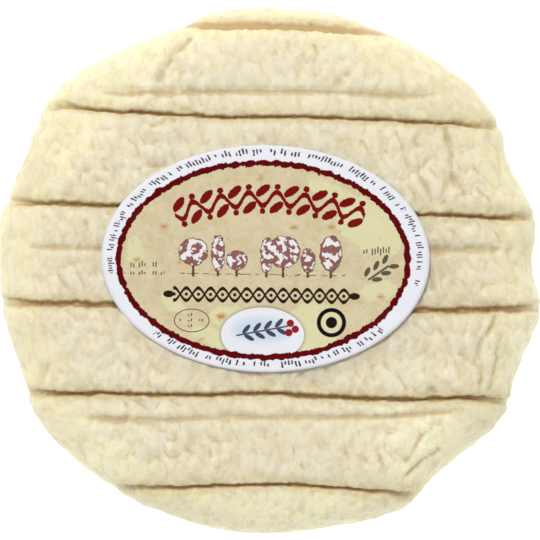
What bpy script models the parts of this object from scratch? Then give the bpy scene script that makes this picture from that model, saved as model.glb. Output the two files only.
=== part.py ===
"""Soft goat's cheese: a low rounded loaf with rack grooves pressed into both faces, and an oval paper
label lying on its top. The scene is in metres, +Z up, with the origin on the ground under the middle of
the loaf. The top face looks to +Z, the grooves run along X and the photographed view has +Y at its top."""

import math

import bmesh
import bpy
import numpy as np
from mathutils import Matrix, Vector, noise

MM = 0.001

# Loaf, side view
LOAF_HEIGHT = 20.4 * MM
WIDEST_AT = 9.2 * MM
TOP_ROUNDNESS = 11.0  # exponent of the upper edge: larger is squarer
FOOT_ROUNDNESS = 15.0  # exponent of the lower edge
FOOT_FLATTENED = 0.14 * MM  # how much of the underside is pressed flat by the loaf's weight
FLAT_BELOW = 0.05 * MM  # what is left below this height counts as flat

# Loaf, seen from above: the corners of its rim in millimetres, anticlockwise from +X
RIM_CORNERS = [
    (53.0, 0.0), (54.0, 6.1), (53.9, 12.5), (48.0, 22.4), (47.2, 29.4), (41.9, 36.8), (33.5, 43.0),
    (20.7, 50.2), (8.8, 53.0), (0.0, 53.7), (-7.9, 53.2), (-16.0, 51.2), (-26.0, 46.2), (-33.8, 44.0),
    (-41.3, 38.7), (-46.6, 33.0), (-46.9, 29.6), (-53.5, 14.8), (-54.9, 10.0), (-55.2, 0.0),
    (-55.2, -6.8), (-50.2, -22.3), (-49.2, -28.0), (-41.2, -37.9), (-34.2, -42.4), (-30.3, -46.1),
    (-15.3, -51.9), (-7.0, -53.4), (4.0, -53.6), (14.0, -52.3), (22.8, -50.2), (30.4, -46.6),
    (31.2, -43.2), (44.9, -33.3), (48.6, -27.6), (50.8, -18.4), (55.2, -9.7), (55.4, -6.0),
]
CORNER_CUTS = 3  # rounds of corner cutting that turn the corners into a smooth rim

# Stretches of the rim that were pressed into slanting facets: the way each one faces in degrees from +X,
# the distance from the middle at which it starts in millimetres, and its slope
RIM_FACETS = [
    (141.0, 42.2, 0.40), (163.0, 46.0, 0.45), (193.0, 46.5, 0.42), (226.0, 50.5, 0.55), (270.0, 44.6, 0.46),
    (327.0, 45.2, 0.45), (356.0, 43.0, 0.33), (20.0, 46.5, 0.40), (46.0, 47.4, 0.45), (90.0, 49.0, 0.40),
]

# Grooves from the back of the top face to its front, each with its course from the left rim to the right.
# The deep ones part the face into pillows, and the faint ones only mark it. All lengths in millimetres.
GROOVES = [
    {"depth": 1.5, "half_width": 0.80,
     "course": [(-14.2, 50.2), (-11.1, 49.9), (4.2, 49.8), (15.4, 49.1), (21.9, 48.8)]},
    {"depth": 0.8, "half_width": 0.75,
     "course": [(-42.7, 36.4), (-31.9, 36.2), (-22.3, 36.0), (12.9, 36.2), (26.6, 35.1), (37.0, 36.2)]},
    {"depth": 2.2, "half_width": 0.38,
     "course": [(-45.9, 32.9), (-41.9, 33.8), (-38.8, 33.0), (-26.8, 31.9), (-6.4, 30.7), (0.1, 31.1),
                (12.9, 30.8), (32.7, 29.9), (46.7, 29.3)]},
    {"depth": 2.3, "half_width": 0.42,
     "course": [(-52.9, 13.9), (-41.2, 13.4), (-30.5, 12.9), (29.2, 11.1), (40.2, 11.1), (45.5, 10.5),
                (53.1, 10.9)]},
    {"depth": 0.8, "half_width": 0.85,
     "course": [(-50.8, 4.8), (-34.5, 4.2), (32.7, 3.8), (51.6, 4.2)]},
    {"depth": 2.0, "half_width": 0.56,
     "course": [(-53.9, -6.8), (-32.5, -7.0), (28.6, -8.2), (40.2, -8.2), (54.3, -7.8)]},
    {"depth": 2.2, "half_width": 0.46,
     "course": [(-49.2, -25.1), (-39.8, -25.4), (-33.8, -24.8), (-22.3, -25.4), (-6.4, -25.2), (0.1, -24.7),
                (7.1, -25.5), (28.9, -26.4), (38.7, -26.0), (47.4, -26.9)]},
    {"depth": 0.75, "half_width": 0.90,
     "course": [(-45.0, -29.2), (-41.9, -29.8), (-27.8, -30.7), (-7.4, -29.8), (19.9, -30.0),
                (30.0, -29.4), (45.9, -28.5)]},
    {"depth": 1.9, "half_width": 0.46,
     "course": [(-30.7, -44.5), (-16.8, -44.5), (-7.4, -43.6), (3.6, -43.7), (12.9, -44.3), (20.9, -45.3),
                (30.2, -46.2)]},
]
DEEP_FROM = 1.0  # a groove deeper than this has pillows beside it
WALL_SLOPE = 0.30 * MM  # half the width over which a groove's wall falls
PILLOW_DROP = 0.50 * MM  # how far a pillow's edge sinks towards a deep groove
PILLOW_REACH = 1.6 * MM
GROOVE_WANDER = 0.22 * MM  # how far a deep groove strays from its course
WANDER_LENGTH = 2.6 * MM
WIDTH_VARIES = 0.40  # share by which a deep groove's width comes and goes
GROOVE_OPENS = 1.2  # how much wider a deep groove gets where it runs out over the rim
GROOVE_ON_SIDE = 0.30  # share of a groove's depth that is left at the loaf's widest height
GROOVE_UNDERNEATH = 0.55  # share of the top grooves' depth on the underside
FAINT_ENDS = (0.80, 0.93)  # a faint groove dies away between these shares of the way to the rim

# Sloping strips between a faint groove and the deep one next to it: their numbers in the list above, and
# how far the strip lies below the pillows at its back and at its front
STRIPS = [(1, 2, 0.42, 0.05), (6, 7, 0.50, 0.12)]

# Short folds of the rind: depth, half width and course, in millimetres
FOLDS = [
    (0.60, 0.95, [(-16.2, 47.0), (-19.7, 43.7), (-21.9, 40.6), (-22.7, 38.2)]),
    (0.35, 0.90, [(17.4, 41.6), (15.2, 39.6), (13.6, 37.6)]),
    (0.55, 0.75, [(35.7, 28.4), (36.4, 25.0), (36.8, 20.9), (37.8, 16.8)]),
    (0.55, 0.70, [(41.4, -12.4), (42.4, -18.0), (41.8, -23.6)]),
    (0.65, 0.80, [(33.0, -32.2), (29.2, -38.2), (25.6, -43.4)]),
    (0.40, 0.70, [(33.2, -36.0), (30.6, -39.6), (28.2, -42.4)]),
    (0.35, 0.60, [(-45.2, -19.2), (-46.2, -24.4)]),
]

# Pits and lumps beside the grooves: place, radius, and depth below the surface or height above it
DIMPLES = [
    (33.2, -24.0, 1.5, 1.6), (-38.2, -36.6, 2.2, 0.4), (36.0, -22.4, 2.0, -0.7), (31.0, -22.2, 1.8, -0.5),
    (38.6, -24.0, 1.6, -0.5), (29.8, -20.2, 2.4, -0.3), (-24.4, 33.9, 1.6, -0.3), (34.0, 31.6, 1.7, -0.3),
]

# Uneven rind
SWELL_HEIGHT = 0.42 * MM
SWELL_LENGTH = 11.0 * MM
LUMP_HEIGHT = 0.20 * MM
LUMP_LENGTH = 4.2 * MM
PRESSED_BY_LABEL = 0.35  # share of the unevenness that is left under the label

# Label
LABEL_LENGTH = 66.4 * MM
LABEL_WIDTH = 45.9 * MM
LABEL_THICK = 0.25 * MM
LABEL_AT = (-0.9 * MM, 2.3 * MM)
LABEL_TURN = math.radians(-0.8)
LABEL_CLEAR = 0.34 * MM  # free height between the label and the pillows' highest crests
LABEL_SAG = 0.22 * MM  # how far the paper gives way over a deep groove
LABEL_LIFT = 0.60 * MM  # how far its edge stands up where it has come loose
LABEL_LOOSE_AT = math.radians(-50.0)

# Mesh of the loaf before it is thinned out: columns along the grooves, and rows between one groove and
# the next, drawn towards the grooves
COLUMNS = 80
ROWS_BETWEEN = [6, 9, 6, 12, 9, 9, 12, 6, 10, 7]
ROW_GRADING = 0.8
TOP_FACE_SHARE = 0.945  # the top face reaches this share of the way to the rim
FOOT_FACE_SHARE = 0.90
UPPER_RINGS = 4
LOWER_RINGS = 4
CAP_SHARE = 0.33  # how far the first and last rows stop short of the ends of the groove next to them
KEPT_TRIANGLES = 0.31

# Mesh of the label
LABEL_SEGMENTS = 56
LABEL_RINGS = [0.22, 0.44, 0.66, 0.85, 1.0]

CHEESE_COLOUR = (0.80, 0.70, 0.50, 1.0)
PAPER_COLOUR = (0.86, 0.85, 0.86, 1.0)


def smoothstep(low, high, value):
    t = np.clip((value - low) / (high - low), 0.0, 1.0)
    return t * t * (3.0 - 2.0 * t)


def waves(x, y, z, length, seed):
    """Smooth noise between about -1 and 1 at each place, with humps of the given length."""
    shift = Vector((3.1 * seed, 7.7 - seed, 1.3 + 2.0 * seed))
    places = np.stack([x, y, z], axis=1) / length
    return np.array([noise.noise(Vector(place) + shift) for place in places])


def cut_corners(points, rounds, closed):
    """Each round replaces every corner by two points, a quarter of the way along its edges."""
    for _ in range(rounds):
        ends = zip(points, points[1:] + points[:1]) if closed else zip(points, points[1:])
        cut = [tuple(a + (b - a) * share for a, b in zip(p, q)) for p, q in ends for share in (0.25, 0.75)]
        points = cut if closed else [points[0]] + cut + [points[-1]]
    return points


def in_metres(points):
    return np.array(points) * MM


def make_rim_table():
    """The rim's radius by its angle, in rising order of angle."""
    rim = in_metres(cut_corners(RIM_CORNERS, CORNER_CUTS, closed=True))
    angles = np.arctan2(rim[:, 1], rim[:, 0])
    order = np.argsort(angles)
    return angles[order], np.hypot(rim[:, 0], rim[:, 1])[order]


RIM_ANGLES, RIM_RADII = make_rim_table()
COURSES = [in_metres(cut_corners(groove["course"], 2, closed=False)) for groove in GROOVES]


def rim_radius(angle):
    return np.interp(angle, RIM_ANGLES, RIM_RADII, period=2.0 * math.pi)


def share_to_rim(x, y):
    """0 in the middle of the loaf, 1 on its rim."""
    return np.hypot(x, y) / rim_radius(np.arctan2(y, x))


def groove_y(index, x):
    """A groove's course as Y over X, run on at its end's slope past the rim."""
    course = COURSES[index]
    y = np.interp(x, course[:, 0], course[:, 1])
    for end, inner in ((0, 1), (-1, -2)):
        slope = (course[end, 1] - course[inner, 1]) / (course[end, 0] - course[inner, 0])
        outside = x < course[0, 0] if end == 0 else x > course[-1, 0]
        y = np.where(outside, course[end, 1] + (x - course[end, 0]) * slope, y)
    return y


def top_height(x, y):
    """The top face without its grooves: level, then rounded at the rim and flattened by the facets."""
    share = np.minimum(share_to_rim(x, y), 1.0)
    drops = [(LOAF_HEIGHT - WIDEST_AT) * (1.0 - np.sqrt(1.0 - share ** TOP_ROUNDNESS))]
    for facing, start, slope in RIM_FACETS:
        angle = math.radians(facing)
        beyond = x * math.cos(angle) + y * math.sin(angle) - start * MM
        drops.append(slope * np.maximum(0.0, beyond))
    return LOAF_HEIGHT - sum((drop / MM) ** 4 for drop in drops) ** 0.25 * MM


def foot_height(x, y):
    share = np.minimum(share_to_rim(x, y), 1.0)
    return WIDEST_AT * (1.0 - np.sqrt(1.0 - share ** FOOT_ROUNDNESS))


def distance_to_course(x, y, course):
    """The distance from each place to a short line of points."""
    nearest = np.full(x.shape, 1.0)
    for (x0, y0), (x1, y1) in zip(course, course[1:]):
        along = ((x - x0) * (x1 - x0) + (y - y0) * (y1 - y0)) / ((x1 - x0) ** 2 + (y1 - y0) ** 2)
        along = np.clip(along, 0.0, 1.0)
        nearest = np.minimum(nearest, np.hypot(x - x0 - along * (x1 - x0), y - y0 - along * (y1 - y0)))
    return nearest


def groove_depth(x, y):
    """How deep the grooves lie at each place, with the pillows' sunken edges and the strips beside them."""
    share = share_to_rim(x, y)
    opening = smoothstep(0.84, 0.99, share)
    fading = 1.0 - smoothstep(*FAINT_ENDS, share)
    still = np.zeros(x.shape)
    depth = np.zeros(x.shape)
    for back, front, back_drop, front_drop in STRIPS:
        y_back, y_front = groove_y(back, x), groove_y(front, x)
        down = np.clip((y_back - y) / (y_back - y_front), -1.0, 2.0)
        inside = smoothstep(-0.12, 0.02, down) * (1.0 - smoothstep(0.98, 1.12, down))
        drop = back_drop + (front_drop - back_drop) * np.clip(down, 0.0, 1.0)
        depth = np.maximum(depth, drop * MM * inside * fading)
    for index, groove in enumerate(GROOVES):
        away = np.abs(y - groove_y(index, x))
        if groove["depth"] < DEEP_FROM:
            inside = np.exp(-((away / (groove["half_width"] * MM)) ** 2))
            depth = depth + groove["depth"] * MM * fading * inside
            continue
        stray = GROOVE_WANDER * waves(x, still, still, WANDER_LENGTH, index + 1)
        away = np.abs(y - groove_y(index, x) - stray)
        varied = 1.0 + WIDTH_VARIES * waves(x, still, still, 1.3 * WANDER_LENGTH, index + 12)
        half_width = groove["half_width"] * MM * (varied + GROOVE_OPENS * opening)
        inside = 1.0 - smoothstep(half_width - WALL_SLOPE, half_width + WALL_SLOPE, away)
        edge = np.maximum(depth, PILLOW_DROP * np.exp(-((away / PILLOW_REACH) ** 2)))
        full_depth = groove["depth"] * MM * (1.0 - 0.35 * opening)
        depth = edge + (full_depth - edge) * inside
    return depth


def fold_depth(x, y):
    """How deep the short folds and the pits lie; lumps count as negative depths."""
    depth = np.zeros(x.shape)
    for full_depth, half_width, course in FOLDS:
        away = distance_to_course(x, y, in_metres(course)) / (half_width * MM)
        depth = np.maximum(depth, full_depth * MM * np.exp(-(away ** 2)))
    for at_x, at_y, radius, full_depth in DIMPLES:
        away = np.hypot(x - at_x * MM, y - at_y * MM) / (radius * MM)
        depth = depth + full_depth * MM * np.exp(-(away ** 2))
    return depth


def unevenness(x, y, z):
    """Swells and lumps of the rind, above or below its mean surface."""
    turn = Matrix.Rotation(-LABEL_TURN, 2)
    away = np.stack([x - LABEL_AT[0], y - LABEL_AT[1]], axis=1) @ np.array(turn).T
    under_label = np.hypot(away[:, 0] / (LABEL_LENGTH / 2), away[:, 1] / (LABEL_WIDTH / 2))
    kept = PRESSED_BY_LABEL + (1.0 - PRESSED_BY_LABEL) * smoothstep(0.9, 1.1, under_label)
    rough = SWELL_HEIGHT * waves(x, y, z, SWELL_LENGTH, 0) + LUMP_HEIGHT * waves(x, y, z, LUMP_LENGTH, 10)
    return rough * np.where(z > WIDEST_AT, kept, 1.0)


def rim_crossing(index, side):
    """The angle at which a groove's course crosses the edge of the top face, on the side of -1 or 1."""
    inner, outer = 0.0, side * 80 * MM
    for _ in range(40):
        middle = (inner + outer) / 2
        if share_to_rim(middle, groove_y(index, middle)) < TOP_FACE_SHARE:
            inner = middle
        else:
            outer = middle
    return math.atan2(groove_y(index, inner), inner)


def line_ends():
    """The angles at which the lines of the face meet its edge, left and right. The first and last lines
    lie on the edge itself, and the others are the grooves."""
    ends = [(rim_crossing(i, -1) % (2 * math.pi), rim_crossing(i, 1)) for i in range(len(GROOVES))]
    (back_left, back_right), (front_left, front_right) = ends[0], ends[-1]
    back = CAP_SHARE * (back_left - back_right)
    front = CAP_SHARE * (front_right + 2 * math.pi - front_left)
    return [(back_left - back, back_right + back), *ends, (front_left + front, front_right - front)]


def edge_point(angle, share):
    radius = rim_radius(angle) * share
    return np.array((radius * math.cos(angle), radius * math.sin(angle)))


def line_point(line, ends, across, share):
    """A point on a line of the face, across its width from 0 to 1."""
    left, right = ends[line]
    if line == 0:
        return edge_point(left + (right - left) * across, share)
    if line == len(ends) - 1:
        return edge_point(left + (right + 2 * math.pi - left) * across, share)
    x = edge_point(left, share)[0] * (1 - across) + edge_point(right, share)[0] * across
    return np.array((x, groove_y(line - 1, x)))


def face_point(line, down, across, ends, share):
    """A point between two lines of the face, shifted so that the outermost columns follow its edge."""
    (left_0, right_0), (left_1, right_1) = ends[line], ends[line + 1]
    middle, at_left, at_right = [
        line_point(line, ends, s, share) * (1 - down) + line_point(line + 1, ends, s, share) * down
        for s in (across, 0.0, 1.0)]
    left = edge_point(left_0 + (left_1 - left_0) * down, share) - at_left
    right = edge_point(right_0 + (right_1 - right_0) * down, share) - at_right
    return middle + left * (1 - across) + right * across


def graded(t):
    return t - ROW_GRADING * math.sin(2 * math.pi * t) / (2 * math.pi)


def add_face(bm, share, height):
    """Adds one face of the loaf as a grid whose rows follow the grooves. Returns its open edges."""
    rows = [(line, graded(step / count)) for line, count in enumerate(ROWS_BETWEEN) for step in range(count)]
    rows.append((len(ROWS_BETWEEN) - 1, 1.0))
    ends = line_ends()
    grid = bmesh.ops.create_grid(bm, x_segments=COLUMNS, y_segments=len(rows) - 1, size=1.0)["verts"]
    for vert in grid:
        line, down = rows[round((1 - vert.co.y) / 2 * (len(rows) - 1))]
        x, y = face_point(line, down, (vert.co.x + 1) / 2, ends, share)
        vert.co = (x, y, height(x, y))
    return [edge for edge in {e for v in grid for e in v.link_edges} if edge.is_boundary]


def pull_ring(bm, edges, widen, new_height):
    """Extrudes an open loop of edges into the next ring of the side. Returns the new loop."""
    made = bmesh.ops.extrude_edge_only(bm, edges=edges)["geom"]
    for vert in (item for item in made if isinstance(item, bmesh.types.BMVert)):
        vert.co = (vert.co.x * widen, vert.co.y * widen, new_height(vert.co.z))
    return [item for item in made if isinstance(item, bmesh.types.BMEdge) and item.is_boundary]


def add_side(bm, top_edges, foot_edges):
    """Rings from the top face's edge out to the widest outline and back in to the foot's edge."""
    full_rise = math.sqrt(1.0 - TOP_FACE_SHARE ** TOP_ROUNDNESS)
    rises = [full_rise * (1 - ring / UPPER_RINGS) for ring in range(UPPER_RINGS + 1)]
    shares = [(1.0 - rise * rise) ** (1.0 / TOP_ROUNDNESS) for rise in rises]
    edges = top_edges
    for ring in range(1, UPPER_RINGS + 1):
        kept = rises[ring] / rises[ring - 1]
        edges = pull_ring(bm, edges, shares[ring] / shares[ring - 1],
                          lambda z, kept=kept: WIDEST_AT + (z - WIDEST_AT) * kept)
    full_fall = math.sqrt(1.0 - FOOT_FACE_SHARE ** FOOT_ROUNDNESS)
    falls = [full_fall * ring / LOWER_RINGS for ring in range(LOWER_RINGS)]
    shares = [(1.0 - fall * fall) ** (1.0 / FOOT_ROUNDNESS) for fall in falls]
    for ring in range(1, LOWER_RINGS):
        level = WIDEST_AT * (1.0 - falls[ring])
        edges = pull_ring(bm, edges, shares[ring] / shares[ring - 1], lambda z, level=level: level)
    bmesh.ops.bridge_loops(bm, edges=edges + foot_edges)


def shape_rind(bm):
    """Moves the surface along its normals by the grooves, the folds and the unevenness of the rind, and
    presses the underside flat."""
    bm.normal_update()
    x, y, z = np.array([vert.co for vert in bm.verts]).T
    from_top = GROOVE_ON_SIDE + (1 - GROOVE_ON_SIDE) * smoothstep(WIDEST_AT, LOAF_HEIGHT * 0.8, z)
    from_foot = GROOVE_ON_SIDE + (GROOVE_UNDERNEATH - GROOVE_ON_SIDE) * smoothstep(WIDEST_AT, 0.0, z)
    sink = groove_depth(x, y) * np.where(z > WIDEST_AT, from_top, from_foot)
    sink += fold_depth(x, y) * smoothstep(WIDEST_AT, LOAF_HEIGHT * 0.8, z)
    moves = unevenness(x, y, z) - sink
    for vert, move in zip(bm.verts, moves):
        vert.co += vert.normal * float(move)
        pressed = FOOT_FLATTENED * float(1.0 - smoothstep(0.0, WIDEST_AT, vert.co.z))
        vert.co.z = max(0.0, vert.co.z - pressed)


def thinned_out(bm):
    """Leaves the triangles that the form needs: many along the grooves, few on the pillows."""
    mesh = bpy.data.meshes.new("fine")
    bm.to_mesh(mesh)
    fine = bpy.data.objects.new("fine", mesh)
    bpy.context.scene.collection.objects.link(fine)
    fine.modifiers.new("thinned", "DECIMATE").ratio = KEPT_TRIANGLES
    bpy.context.view_layer.update()
    bm.clear()
    bm.from_mesh(fine.evaluated_get(bpy.context.evaluated_depsgraph_get()).to_mesh())
    bpy.data.objects.remove(fine, do_unlink=True)
    return bm


def make_cheese():
    bm = bmesh.new()
    top_edges = add_face(bm, TOP_FACE_SHARE, top_height)
    foot_edges = add_face(bm, FOOT_FACE_SHARE, foot_height)
    add_side(bm, top_edges, foot_edges)
    bmesh.ops.recalc_face_normals(bm, faces=bm.faces)
    shape_rind(bm)
    bm = thinned_out(bm)
    for vert in bm.verts:
        if vert.co.z < FLAT_BELOW:
            vert.co.z = 0.0
    return finish_object(bm, "cheese", CHEESE_COLOUR, roughness=0.62)


def label_height(x, y):
    """The underside of the label: it bridges the crests and gives way a little over the deep grooves."""
    crest = 0.8 * (SWELL_HEIGHT + LUMP_HEIGHT) * PRESSED_BY_LABEL
    height = top_height(x, y) + crest + LABEL_CLEAR
    for index, groove in enumerate(GROOVES):
        if groove["depth"] > DEEP_FROM:
            away = (y - groove_y(index, x)) / (1.6 * PILLOW_REACH)
            height = height - LABEL_SAG * np.exp(-(away ** 2))
    dx, dy = (x - LABEL_AT[0]) / (LABEL_LENGTH / 2), (y - LABEL_AT[1]) / (LABEL_WIDTH / 2)
    loose = np.maximum(0.0, np.cos(np.arctan2(dy, dx) - LABEL_LOOSE_AT))
    return height + LABEL_LIFT * loose * smoothstep(0.55, 1.0, np.hypot(dx, dy))


def make_label():
    """An oval sheet of paper, made as rings round its middle and then thickened upwards."""
    bm = bmesh.new()
    bmesh.ops.create_circle(bm, cap_ends=True, cap_tris=True, segments=LABEL_SEGMENTS, radius=LABEL_RINGS[0])
    edges = [edge for edge in bm.edges if edge.is_boundary]
    for inner, outer in zip(LABEL_RINGS, LABEL_RINGS[1:]):
        edges = pull_ring(bm, edges, outer / inner, lambda z: z)
    oval = Matrix.Diagonal((LABEL_LENGTH / 2, LABEL_WIDTH / 2, 1.0, 1.0))
    bm.transform(Matrix.Translation((*LABEL_AT, 0.0)) @ Matrix.Rotation(LABEL_TURN, 4, "Z") @ oval)
    x, y, _ = np.array([vert.co for vert in bm.verts]).T
    for vert, height in zip(bm.verts, label_height(x, y)):
        vert.co.z = height
    bmesh.ops.recalc_face_normals(bm, faces=bm.faces)
    if sum(face.normal.z for face in bm.faces) < 0:
        bmesh.ops.reverse_faces(bm, faces=bm.faces)
    bmesh.ops.triangulate(bm, faces=bm.faces)
    label = finish_object(bm, "label", PAPER_COLOUR, roughness=0.45)
    sheet = label.modifiers.new("paper", "SOLIDIFY")
    sheet.thickness = LABEL_THICK
    sheet.offset = 1.0
    return label


def finish_object(bm, name, colour, roughness):
    """Turns the bmesh into a smooth-shaded object with its material, in the part's collection."""
    mesh = bpy.data.meshes.new(name)
    bm.to_mesh(mesh)
    bm.free()
    mesh.shade_smooth()
    material = bpy.data.materials.new(name)
    material.use_nodes = True
    shader = material.node_tree.nodes["Principled BSDF"]
    shader.inputs["Base Color"].default_value = colour
    shader.inputs["Roughness"].default_value = roughness
    shader.inputs["Metallic"].default_value = 0.0
    mesh.materials.append(material)
    made = bpy.data.objects.new(name, mesh)
    bpy.data.collections["goat_cheese"].objects.link(made)
    return made


def main():
    for old in list(bpy.data.objects):
        bpy.data.objects.remove(old, do_unlink=True)
    collection = bpy.data.collections.new("goat_cheese")
    bpy.context.scene.collection.children.link(collection)
    cheese = make_cheese()
    label = make_label()
    corners = np.array(cheese.bound_box)
    middle = (corners.min(axis=0) + corners.max(axis=0)) / 2
    for part in (cheese, label):
        part.data.transform(Matrix.Translation((-middle[0], -middle[1], 0.0)))


main()
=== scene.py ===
import math
from functools import reduce

import bpy
import numpy as np
from mathutils import Matrix, Vector, geometry, noise


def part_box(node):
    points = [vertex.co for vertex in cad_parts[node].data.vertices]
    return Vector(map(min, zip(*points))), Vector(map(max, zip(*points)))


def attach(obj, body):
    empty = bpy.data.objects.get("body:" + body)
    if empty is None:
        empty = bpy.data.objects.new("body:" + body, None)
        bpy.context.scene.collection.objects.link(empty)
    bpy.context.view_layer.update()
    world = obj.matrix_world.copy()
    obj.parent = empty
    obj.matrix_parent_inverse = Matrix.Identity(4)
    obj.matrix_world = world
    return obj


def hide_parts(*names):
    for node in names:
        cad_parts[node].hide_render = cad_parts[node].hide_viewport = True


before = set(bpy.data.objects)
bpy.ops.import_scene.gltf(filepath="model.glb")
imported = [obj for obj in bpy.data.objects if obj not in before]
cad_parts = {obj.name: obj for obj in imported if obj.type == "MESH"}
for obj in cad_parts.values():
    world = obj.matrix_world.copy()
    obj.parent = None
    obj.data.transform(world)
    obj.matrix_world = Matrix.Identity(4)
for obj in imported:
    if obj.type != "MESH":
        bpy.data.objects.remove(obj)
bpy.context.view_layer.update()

MM = 0.001

# Camera: straight above, so that the photograph's frame spans the width at the loaf's widest height
FRAME_WIDTH = 110.0 * MM
LENS = 500.0
SENSOR = 36.0

# Studio. The floor is a little below the flat underside, so that the two surfaces never coincide.
LIGHT_AT = (-0.22, 0.66, 1.12)
LIGHT_SIZE = 0.5
LIGHT_POWER = 10.6
SKY_STRENGTH = 0.65
FLOOR_AT = -0.02 * MM
FLOOR_REACH = 3.0

# Form of the loaf: the solid's, with narrower grooves and sharper folds. Lists of places are in millimetres.
LOAF_HEIGHT = 20.4 * MM
WIDEST_AT = 9.2 * MM
TOP_ROUNDNESS = 11.0
FOOT_ROUNDNESS = 15.0
FOOT_FLATTENED = 0.14 * MM
RIM_CORNERS = [
    (53.0, 0.0), (54.0, 6.1), (53.9, 12.5), (48.0, 22.4), (47.2, 29.4), (41.9, 36.8), (33.5, 43.0),
    (20.7, 50.2), (8.8, 53.0), (0.0, 53.7), (-7.9, 53.2), (-16.0, 51.2), (-26.0, 46.2), (-33.8, 44.0),
    (-41.3, 38.7), (-46.6, 33.0), (-46.9, 29.6), (-53.5, 14.8), (-54.9, 10.0), (-55.2, 0.0),
    (-55.2, -6.8), (-50.2, -22.3), (-49.2, -28.0), (-41.2, -37.9), (-34.2, -42.4), (-30.3, -46.1),
    (-15.3, -51.9), (-7.0, -53.4), (4.0, -53.6), (14.0, -52.3), (22.8, -50.2), (30.4, -46.6),
    (31.2, -43.2), (44.9, -33.3), (48.6, -27.6), (50.8, -18.4), (55.2, -9.7), (55.4, -6.0),
]
CORNER_CUTS = 3
# Each facet's facing in degrees, its start and its slope
RIM_FACETS = [
    (141.0, 42.2, 0.40), (163.0, 46.0, 0.45), (193.0, 46.5, 0.42), (226.0, 50.5, 0.55), (270.0, 44.6, 0.46),
    (327.0, 45.2, 0.45), (356.0, 43.0, 0.33), (20.0, 46.5, 0.40), (46.0, 47.4, 0.45), (90.0, 49.0, 0.40),
]
GROOVES = [
    {"depth": 1.5, "half_width": 0.62, "opens": 0.4,
     "course": [(-14.2, 50.2), (-11.1, 49.9), (4.2, 49.8), (15.4, 49.1), (21.9, 48.8)]},
    {"depth": 1.0, "half_width": 0.75,
     "course": [(-42.7, 36.4), (-31.9, 36.2), (-22.3, 36.0), (12.9, 36.2), (26.6, 35.1), (37.0, 36.2)]},
    {"depth": 2.2, "half_width": 0.27,
     "course": [(-45.9, 32.9), (-41.9, 33.8), (-38.8, 33.0), (-26.8, 31.9), (-6.4, 30.7), (0.1, 31.1),
                (12.9, 30.8), (32.7, 29.9), (46.7, 29.3)]},
    {"depth": 2.3, "half_width": 0.33,
     "course": [(-52.9, 13.9), (-41.2, 13.4), (-30.5, 12.9), (29.2, 11.1), (40.2, 11.1), (45.5, 10.5),
                (53.1, 10.9)]},
    {"depth": 1.0, "half_width": 0.85,
     "course": [(-50.8, 4.8), (-34.5, 4.2), (32.7, 3.8), (51.6, 4.2)]},
    {"depth": 2.0, "half_width": 0.50,
     "course": [(-53.9, -6.8), (-32.5, -7.0), (28.6, -8.2), (40.2, -8.2), (54.3, -7.8)]},
    {"depth": 2.2, "half_width": 0.37,
     "course": [(-49.2, -25.1), (-39.8, -25.4), (-33.8, -24.8), (-22.3, -25.4), (-6.4, -25.2), (0.1, -24.7),
                (7.1, -25.5), (28.9, -26.4), (38.7, -26.0), (47.4, -26.9)]},
    {"depth": 0.95, "half_width": 0.9,
     "course": [(-45.0, -29.2), (-41.9, -29.8), (-27.8, -30.7), (-7.4, -29.8), (19.9, -30.0),
                (30.0, -29.4), (45.9, -28.5)]},
    {"depth": 1.9, "half_width": 0.30,
     "course": [(-30.7, -44.5), (-16.8, -44.5), (-7.4, -43.6), (3.6, -43.7), (12.9, -44.3), (20.9, -45.3),
                (30.2, -46.2)]},
]
DEEP_FROM = 1.2
WALL_SLOPE = 0.30 * MM
PILLOW_DROP = 0.38 * MM
PILLOW_REACH = 1.5 * MM
GROOVE_WANDER = 0.22 * MM
WANDER_LENGTH = 2.6 * MM
WIDTH_VARIES = 0.40
GROOVE_OPENS = 1.2
GROOVE_ON_SIDE = 0.30
GROOVE_BELOW = 0.55
FAINT_ENDS = (0.80, 0.93)
# Strips between two grooves, with their drop at the back and at the front
STRIPS = [(1, 2, 0.42, 0.05), (6, 7, 0.50, 0.12)]
# Each fold's depth, half width and course; each dimple's middle, radius and depth, below zero for a bump
FOLDS = [
    (0.90, 0.80, [(-16.2, 47.0), (-19.7, 43.7), (-21.9, 40.6), (-22.7, 38.2)]),
    (0.45, 0.90, [(17.4, 41.6), (15.2, 39.6), (13.6, 37.6)]),
    (0.65, 0.75, [(35.7, 28.4), (36.4, 25.0), (36.8, 20.9), (37.8, 16.8)]),
    (0.62, 0.62, [(45.7, -9.7), (43.4, -14.5), (42.2, -18.4), (43.1, -25.6)]),
    (0.45, 0.52, [(47.0, -13.6), (45.6, -19.7), (44.8, -24.6)]),
    (0.62, 0.62, [(34.4, -31.2), (31.2, -33.8), (27.4, -38.6)]),
    (0.58, 0.58, [(33.8, -36.0), (30.4, -38.8), (27.2, -43.0)]),
    (0.35, 0.60, [(-45.2, -19.2), (-46.2, -24.4)]),
]
DIMPLES = [
    (32.8, -25.0, 1.9, 0.9), (-37.5, -25.0, 2.0, 0.5), (26.6, 35.2, 1.4, 0.45), (24.2, 35.5, 1.3, 0.3),
    (-38.2, -36.6, 2.2, 0.4), (36.0, -22.4, 2.0, -0.7), (31.0, -22.2, 1.8, -0.5), (38.6, -24.0, 1.6, -0.5),
    (29.8, -20.2, 2.4, -0.3), (-24.4, 33.9, 1.6, -0.3), (34.0, 31.6, 1.7, -0.3),
]
FOLD_SHOWN = 0.8 * MM
SWELL_HEIGHT = 0.42 * MM
SWELL_LENGTH = 11.0 * MM
LUMP_HEIGHT = 0.20 * MM
LUMP_LENGTH = 4.2 * MM
PRESSED_BY_LABEL = 0.35
RELIEF_BELOW_LABEL = 0.1

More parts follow.
